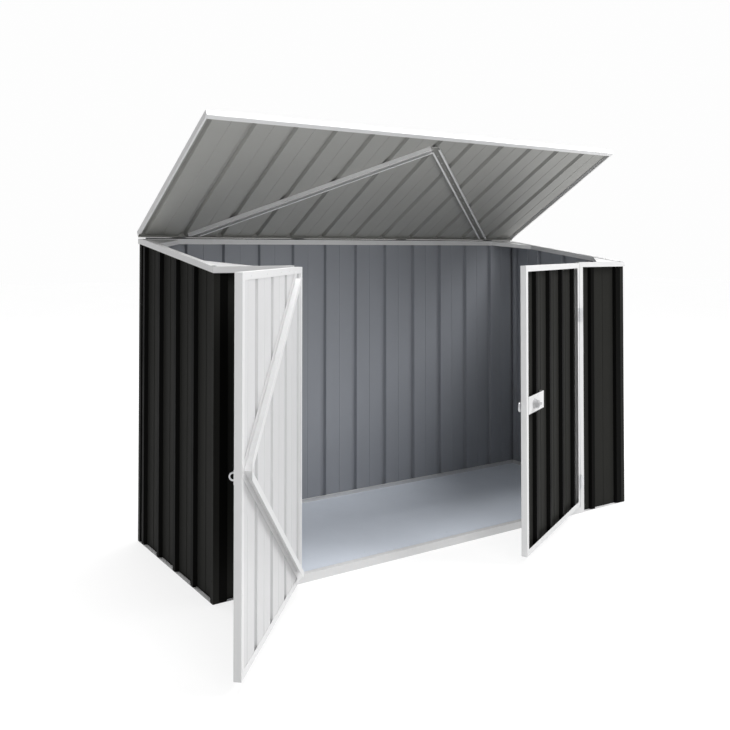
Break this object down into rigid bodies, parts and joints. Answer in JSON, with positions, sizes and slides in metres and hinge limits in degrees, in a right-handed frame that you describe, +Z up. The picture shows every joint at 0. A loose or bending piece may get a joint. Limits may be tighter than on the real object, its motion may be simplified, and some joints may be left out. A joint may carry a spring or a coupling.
{
  "type": "bike shed",
  "caption": "Low steel bike shed of ribbed sheets in folded channels, with a hinged lid, braced double doors and a turning latch.",
  "frame": {"origin": "centre of the body's footprint, on the ground", "axes": "+X to the right along the front, +Y from the door side to the back wall, +Z up"},
  "size_m": [2.4611, 1.4518, 1.8012],
  "materials": {
    "black_sheet": "satin",
    "white_frame": "satin",
    "grey_floor": "satin",
    "zinc": "satin"
  },
  "bodies": {
    "shell": {"floor_panel": "grey_floor", "floor_bearers": "zinc", "front_sill": "white_frame", "back_base_rail": "white_frame", "left_base_rail": "white_frame", "right_base_rail": "white_frame", "front_base_rails": "white_frame", "left_jamb": "white_frame", "right_jamb": "white_frame", "back_top_rail": "white_frame", "left_top_rail": "white_frame", "right_top_rail": "white_frame", "front_left_top_rail": "white_frame", "front_right_top_rail": "white_frame", "back_sheet_left": "black_sheet", "back_sheet_middle": "black_sheet", "back_sheet_right": "black_sheet", "left_end_sheet": "black_sheet", "right_end_sheet": "black_sheet", "front_left_sheet": "black_sheet", "front_right_sheet": "black_sheet", "front_corner_angles": "black_sheet", "back_corner_angles": "black_sheet", "front_gussets": "white_frame", "back_gussets": "white_frame", "lid_hinge_fixed_leaves": "zinc", "lid_hinge_pins": "zinc", "door_hinge_fixed_leaves": "zinc", "door_hinge_pins": "zinc"},
    "lid": {"lid_sheet_left": "black_sheet", "lid_sheet_middle": "black_sheet", "lid_sheet_right": "black_sheet", "lid_front_trim": "white_frame", "lid_back_trim": "white_frame", "lid_left_trim": "white_frame", "lid_right_trim": "white_frame", "lid_left_brace": "white_frame", "lid_right_brace": "white_frame", "lid_hinge_leaves": "zinc"},
    "left_door": {"left_door_sheet": "black_sheet", "left_door_free_stile": "white_frame", "left_door_hinge_stile": "white_frame", "left_door_top_rail": "white_frame", "left_door_bottom_rail": "white_frame", "left_door_upper_brace": "white_frame", "left_door_lower_brace": "white_frame", "left_door_hinge_leaves": "zinc", "left_door_staple": "zinc"},
    "right_door": {"right_door_sheet": "black_sheet", "right_door_free_stile": "white_frame", "right_door_hinge_stile": "white_frame", "right_door_top_rail": "white_frame", "right_door_bottom_rail": "white_frame", "right_door_upper_brace": "white_frame", "right_door_lower_brace": "white_frame", "right_door_hinge_leaves": "zinc", "latch_plate": "white_frame"},
    "latch": {"latch_knob": "zinc", "latch_cam": "zinc", "latch_nut": "zinc"}
  },
  "joints": [
    {"name": "lid_hinge", "type": "hinge", "parent": "shell", "child": "lid", "pos_m": [0, 0.415, 1.332], "axis": [-1, 0, 0], "range_deg": [-38, 30]},
    {"name": "left_door_hinge", "type": "hinge", "parent": "shell", "child": "left_door", "pos_m": [-0.795, -0.415, 0.6], "axis": [0, 0, 1], "range_deg": [-42.8, 132.2]},
    {"name": "right_door_hinge", "type": "hinge", "parent": "shell", "child": "right_door", "pos_m": [0.795, -0.415, 0.6], "axis": [0, 0, 1], "range_deg": [-26.6, 148.4]},
    {"name": "latch_turn", "type": "hinge", "parent": "right_door", "child": "latch", "pos_m": [0.16997, -0.69444, 0.639], "axis": [-0.4478, 0.8942, 0], "range_deg": [0, 90]}
  ]
}
